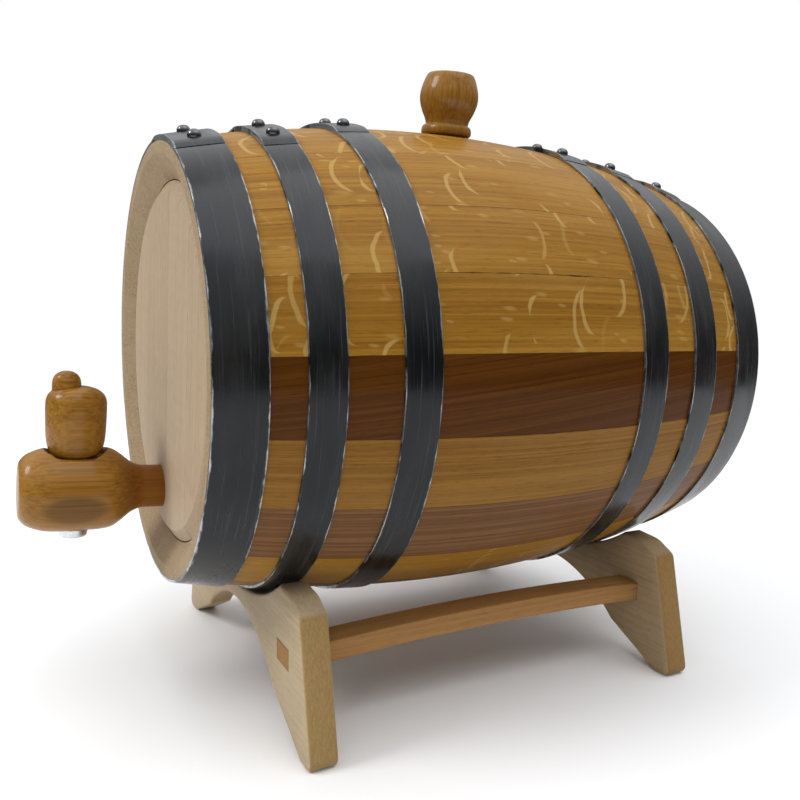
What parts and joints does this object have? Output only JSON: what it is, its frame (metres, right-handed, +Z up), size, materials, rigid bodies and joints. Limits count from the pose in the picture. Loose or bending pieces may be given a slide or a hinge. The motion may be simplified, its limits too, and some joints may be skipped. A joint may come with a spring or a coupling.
{
  "type": "wine barrel",
  "caption": "Small oak ageing barrel with steel hoops, turned wooden bung and tap, lying on a cradle stand of two end plates and side rails.",
  "frame": {"origin": "on the floor, at the centre of the whole object's footprint", "axes": "+Z up; Y along the barrel's axis with the tap towards -Y; X across"},
  "size_m": [0.2144, 0.3188, 0.2813],
  "materials": {
    "stave_oak": "satin lacquered oak with ray flecks",
    "raw_oak": "unfinished sanded oak",
    "stand_oak": "pale oak, thinly oiled",
    "turned_wood": "gloss varnished turned hardwood",
    "hoop_steel": "semi-gloss dark coated steel strip",
    "rivet_steel": "bare bright steel",
    "spout_metal": "satin",
    "cork": "natural cork"
  },
  "bodies": {
    "stand": {"front_cradle": "stand_oak", "rear_cradle": "stand_oak", "right_rail": "stand_oak", "left_rail": "stand_oak"},
    "barrel": {"stave_01": "stave_oak", "stave_02": "stave_oak", "stave_03": "stave_oak", "stave_04": "stave_oak", "stave_05": "stave_oak", "stave_06": "stave_oak", "stave_07": "stave_oak", "stave_08": "stave_oak", "stave_09": "stave_oak", "stave_10": "stave_oak", "stave_11": "stave_oak", "stave_12": "stave_oak", "stave_13": "stave_oak", "stave_14": "stave_oak", "stave_15": "stave_oak", "stave_16": "stave_oak", "stave_17": "stave_oak", "stave_18": "stave_oak", "stave_19": "stave_oak", "stave_20": "stave_oak", "stave_21": "stave_oak", "front_head_board_1": "raw_oak", "front_head_board_2": "raw_oak", "front_head_board_3": "raw_oak", "front_head_board_4": "raw_oak", "rear_head_board_1": "raw_oak", "rear_head_board_2": "raw_oak", "rear_head_board_3": "raw_oak", "rear_head_board_4": "raw_oak", "front_head_dowels": "raw_oak", "rear_head_dowels": "raw_oak", "front_chime_hoop": "hoop_steel", "front_chime_hoop_rivets": "rivet_steel", "front_quarter_hoop": "hoop_steel", "front_quarter_hoop_rivets": "rivet_steel", "front_bilge_hoop": "hoop_steel", "front_bilge_hoop_rivets": "rivet_steel", "rear_bilge_hoop": "hoop_steel", "rear_bilge_hoop_rivets": "rivet_steel", "rear_quarter_hoop": "hoop_steel", "rear_quarter_hoop_rivets": "rivet_steel", "rear_chime_hoop": "hoop_steel", "rear_chime_hoop_rivets": "rivet_steel", "tap_body": "turned_wood", "tap_cork_liner": "cork"},
    "bung": {"bung": "turned_wood"},
    "tap_key": {"tap_key": "turned_wood", "tap_spout_ferrule": "spout_metal"}
  },
  "joints": [
    {"name": "barrel_lift", "type": "slide", "parent": "stand", "child": "barrel", "axis": [0, 0, 1], "range_m": [0, 0.06]},
    {"name": "bung_pull", "type": "slide", "parent": "barrel", "child": "bung", "axis": [0.1219, 0, 0.9925], "range_m": [0, 0.045]},
    {"name": "tap_key_turn", "type": "hinge", "parent": "barrel", "child": "tap_key", "pos_m": [-0.01162, -0.13674, 0.0918], "axis": [0, 0.0523, 0.9986], "continuous": true}
  ]
}
